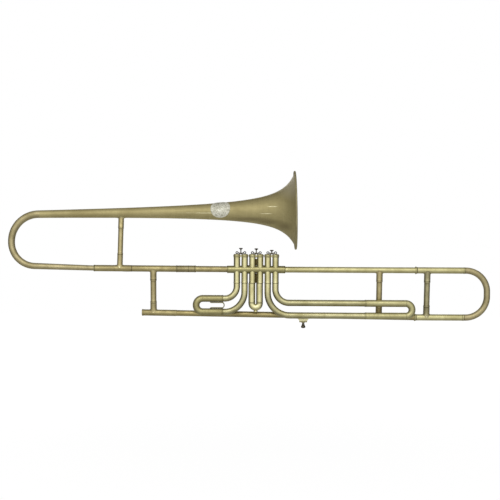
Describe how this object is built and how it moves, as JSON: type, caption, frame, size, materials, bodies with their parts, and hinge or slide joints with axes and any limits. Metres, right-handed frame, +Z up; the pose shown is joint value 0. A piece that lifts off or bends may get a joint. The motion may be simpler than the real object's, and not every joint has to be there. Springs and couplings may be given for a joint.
{
  "type": "valve trombone",
  "caption": "Tenor valve trombone in aged unlacquered brass, with double-piston valves, sprung finger buttons, pull-out valve slides and a main tuning slide.",
  "frame": {"origin": "on the windway's axis, midway between the middle valve's two casings, where the hands hold the instrument", "axes": "+X towards the bell's mouth, +Z up towards the finger buttons, +Y away from the side that shows the shield"},
  "size_m": [1.1025, 0.18, 0.3596],
  "materials": {
    "aged_brass": "satin",
    "dark_brass": "satin",
    "dark_steel": "satin",
    "silver_plate": "satin",
    "piston_nickel": "satin",
    "spring_steel": "satin",
    "nickel_strip": "satin"
  },
  "bodies": {
    "root": {"bell_flare": "aged_brass", "bell_rim_wire": "aged_brass", "bell_bow": "aged_brass", "neckpipe": "aged_brass", "neckpipe_joint_ferrule": "aged_brass", "valve_outlet_tube": "aged_brass", "windway_tube": "aged_brass", "bell_shield": "silver_plate", "valve_1_casing_left": "aged_brass", "valve_1_spring_left": "spring_steel", "valve_1_casing_right": "aged_brass", "valve_1_spring_right": "spring_steel", "valve_1_cap": "aged_brass", "valve_2_casing_left": "aged_brass", "valve_2_spring_left": "spring_steel", "valve_2_casing_right": "aged_brass", "valve_2_spring_right": "spring_steel", "valve_2_cap": "aged_brass", "valve_3_casing_left": "aged_brass", "valve_3_spring_left": "spring_steel", "valve_3_casing_right": "aged_brass", "valve_3_spring_right": "spring_steel", "valve_3_cap": "aged_brass", "middle_valve_web_upper": "dark_brass", "middle_valve_web_lower": "dark_brass", "valve_1_leg_left": "aged_brass", "valve_1_leg_right": "aged_brass", "valve_2_leg_left": "aged_brass", "valve_2_leg_right": "aged_brass", "valve_3_leg_left": "aged_brass", "valve_3_leg_right": "aged_brass", "upper_tube": "aged_brass", "mouthpipe": "aged_brass", "mouthpiece_receiver": "aged_brass", "bell_brace": "aged_brass", "grip_brace": "aged_brass", "slide_brace": "aged_brass", "lyre_socket": "aged_brass"},
    "valve_1": {"valve_1_piston_left": "piston_nickel", "valve_1_piston_right": "piston_nickel", "valve_1_yoke": "dark_steel", "valve_1_button": "dark_steel"},
    "valve_2": {"valve_2_piston_left": "piston_nickel", "valve_2_piston_right": "piston_nickel", "valve_2_yoke": "dark_steel", "valve_2_button": "dark_steel"},
    "valve_3": {"valve_3_piston_left": "piston_nickel", "valve_3_piston_right": "piston_nickel", "valve_3_yoke": "dark_steel", "valve_3_button": "dark_steel"},
    "first_slide": {"valve_1_slide": "aged_brass", "valve_1_slide_strap": "nickel_strip"},
    "second_slide": {"valve_2_slide": "aged_brass"},
    "third_slide": {"valve_3_slide": "aged_brass"},
    "tuning_slide": {"tuning_sleeve_upper": "aged_brass", "tuning_sleeve_lower": "aged_brass", "tuning_slide_bow": "aged_brass", "tuning_slide_brace": "aged_brass"},
    "lyre_screw": {"lyre_screw": "dark_steel"}
  },
  "joints": [
    {"name": "valve_1_press", "type": "slide", "parent": "root", "child": "valve_1", "axis": [0, 0, -1], "range_m": [0, 0.01], "stiffness_N_per_m": 200, "springref_m": -0.015, "deforming": ["valve_1_spring_left", "valve_1_spring_right"]},
    {"name": "valve_2_press", "type": "slide", "parent": "root", "child": "valve_2", "axis": [0, 0, -1], "range_m": [0, 0.01], "stiffness_N_per_m": 200, "springref_m": -0.015, "deforming": ["valve_2_spring_left", "valve_2_spring_right"]},
    {"name": "valve_3_press", "type": "slide", "parent": "root", "child": "valve_3", "axis": [0, 0, -1], "range_m": [0, 0.007], "stiffness_N_per_m": 200, "springref_m": -0.015, "deforming": ["valve_3_spring_left", "valve_3_spring_right"]},
    {"name": "first_slide_pull", "type": "slide", "parent": "root", "child": "first_slide", "axis": [-1, 0, 0], "range_m": [0, 0.03]},
    {"name": "second_slide_pull", "type": "slide", "parent": "root", "child": "second_slide", "axis": [0, 0, -1], "range_m": [0, 0.02]},
    {"name": "third_slide_pull", "type": "slide", "parent": "root", "child": "third_slide", "axis": [1, 0, 0], "range_m": [0, 0.07]},
    {"name": "tuning_slide_pull", "type": "slide", "parent": "root", "child": "tuning_slide", "axis": [1, 0, 0], "range_m": [0, 0.08]},
    {"name": "lyre_screw_turn", "type": "hinge", "parent": "root", "child": "lyre_screw", "pos_m": [0.1085, 0.016, -0.126], "axis": [0, 0, 1], "range_deg": [-1080, 0]}
  ]
}
